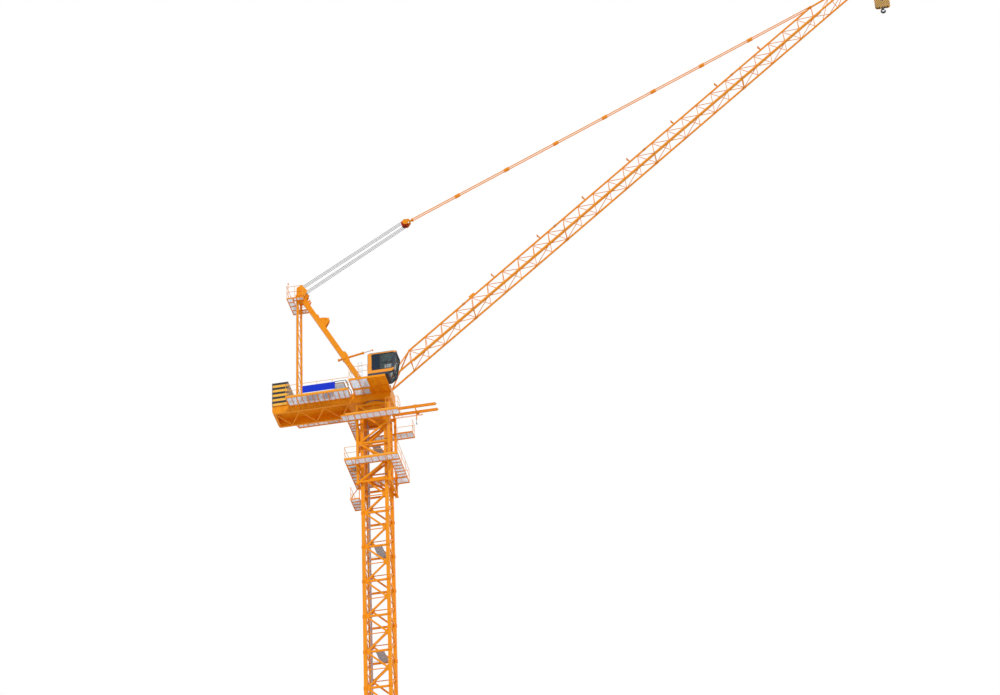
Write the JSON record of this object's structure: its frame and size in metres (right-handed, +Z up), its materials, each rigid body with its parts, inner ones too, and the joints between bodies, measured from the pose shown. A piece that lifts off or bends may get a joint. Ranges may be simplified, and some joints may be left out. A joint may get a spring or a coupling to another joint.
{
  "type": "luffing jib tower crane, scale model 1:2",
  "caption": "Luffing jib tower crane on a lattice mast with climbing frame, slewing counter-jib, A-frame, cab, lattice jib and hook block, at 1:2.",
  "frame": {"origin": "centre of the mast's foot, on the plane it is bolted down to", "axes": "+Z up, +X the side the jib points to, -Y the cab's side"},
  "size_m": [25.9717, 2.8, 32.4324],
  "materials": {
    "orange_paint": "orange paint",
    "turntable_paint": "orange paint",
    "cab_steel": "dark blue and yellow paint",
    "ballast": "yellow and black stripes",
    "grey_cabinet": "light grey paint",
    "wire_rope": "greased wire",
    "hook_steel": "black paint",
    "grating": "galvanised grating",
    "dark_glass": "tinted glass"
  },
  "bodies": {
    "mast": {"foundation_feet": "orange_paint", "mast_chords": "orange_paint", "mast_side_near": "orange_paint", "mast_side_far": "orange_paint", "mast_side_front": "orange_paint", "mast_side_rear": "orange_paint", "mast_ladder": "orange_paint", "turntable": "turntable_paint", "climbing_posts": "orange_paint", "climbing_side_near": "orange_paint", "climbing_side_far": "orange_paint", "climbing_side_rear": "orange_paint", "climbing_front_beams": "orange_paint", "climbing_guides": "orange_paint", "upper_platform": "orange_paint", "middle_platform": "orange_paint", "lower_platform": "orange_paint", "climbing_gratings": "grating", "climbing_handrails": "orange_paint", "introduction_beams": "orange_paint"},
    "introduction_trolley": {"introduction_trolley": "orange_paint"},
    "superstructure": {"slewing_frame": "orange_paint", "jib_foot_lugs": "orange_paint", "counter_jib_girders": "orange_paint", "counter_jib_bracing": "orange_paint", "machinery_deck": "orange_paint", "walkways": "orange_paint", "cab_platform": "orange_paint", "deck_gratings": "grating", "deck_handrails": "orange_paint", "cab_shell": "cab_steel", "cab_glass": "dark_glass", "counterweights": "ballast", "hoist_winch": "orange_paint", "luffing_winch": "orange_paint", "electrical_cabinet": "grey_cabinet", "aframe_front_leg": "orange_paint", "aframe_rear_legs": "orange_paint", "aframe_head": "orange_paint", "head_platform": "orange_paint", "backstop_tube": "orange_paint"},
    "backstop_rod": {"backstop_rod": "orange_paint"},
    "jib": {"jib_chords": "orange_paint", "jib_top_chord": "orange_paint", "jib_side_near": "orange_paint", "jib_side_far": "orange_paint", "jib_floor_lacing": "orange_paint", "jib_walkway": "orange_paint", "jib_head": "orange_paint", "rope_rollers": "orange_paint"},
    "pendants": {"pendants": "orange_paint"},
    "luffing_ropes": {"luffing_ropes": "wire_rope"},
    "floating_block": {"floating_block": "orange_paint"},
    "hoist_ropes": {"hoist_ropes": "wire_rope"},
    "hook_block": {"hook_block": "orange_paint"},
    "hook": {"hook": "hook_steel"}
  },
  "joints": [
    {"name": "slew", "type": "hinge", "parent": "mast", "child": "superstructure", "pos_m": [0, 0, 14.214], "axis": [0, 0, 1], "continuous": true},
    {"name": "luff", "type": "hinge", "parent": "superstructure", "child": "jib", "pos_m": [0.4425, 0, 15.029], "axis": [0, -1, 0], "range_deg": [-24.77, 42]},
    {"name": "pendant_swing", "type": "hinge", "parent": "jib", "child": "pendants", "pos_m": [18.6783, 0, 31.0858], "axis": [0, -1, 0], "range_deg": [-4, 6]},
    {"name": "luffing_rope_swing", "type": "hinge", "parent": "superstructure", "child": "luffing_ropes", "pos_m": [-3, 0, 20.264], "axis": [0, -1, 0], "range_deg": [-14, 23.5]},
    {"name": "luffing_reeve", "type": "slide", "parent": "luffing_ropes", "child": "floating_block", "axis": [0.8498, 0, 0.5271], "range_m": [-4.6, 2.75], "deforming": ["luffing_ropes"]},
    {"name": "hook_plumb", "type": "hinge", "parent": "jib", "child": "hoist_ropes", "pos_m": [21.6177, 0, 32.2624], "axis": [0, -1, 0], "range_deg": [-43, 26]},
    {"name": "hoist", "type": "slide", "parent": "hoist_ropes", "child": "hook_block", "axis": [0, 0, 1], "range_m": [-19, 0.6], "deforming": ["hoist_ropes"]},
    {"name": "hook_swivel", "type": "hinge", "parent": "hook_block", "child": "hook", "pos_m": [21.6177, 0, 30.4851], "axis": [0, 0, 1], "continuous": true},
    {"name": "introduction_travel", "type": "slide", "parent": "mast", "child": "introduction_trolley", "axis": [1, 0, 0], "range_m": [-0.55, 0.5]},
    {"name": "backstop_stroke", "type": "slide", "parent": "superstructure", "child": "backstop_rod", "axis": [0.982, 0, 0.1891], "range_m": [-0.2, 0], "stiffness_N_per_m": 20000}
  ],
  "couplings": [
    {"joint": "pendant_swing", "follows": "luff", "ratio": 0.125},
    {"joint": "luffing_rope_swing", "follows": "luff", "ratio": 0.5463},
    {"joint": "luffing_reeve", "follows": "luff", "m_per_rad": -6.1719},
    {"joint": "hook_plumb", "follows": "luff", "ratio": -1}
  ]
}
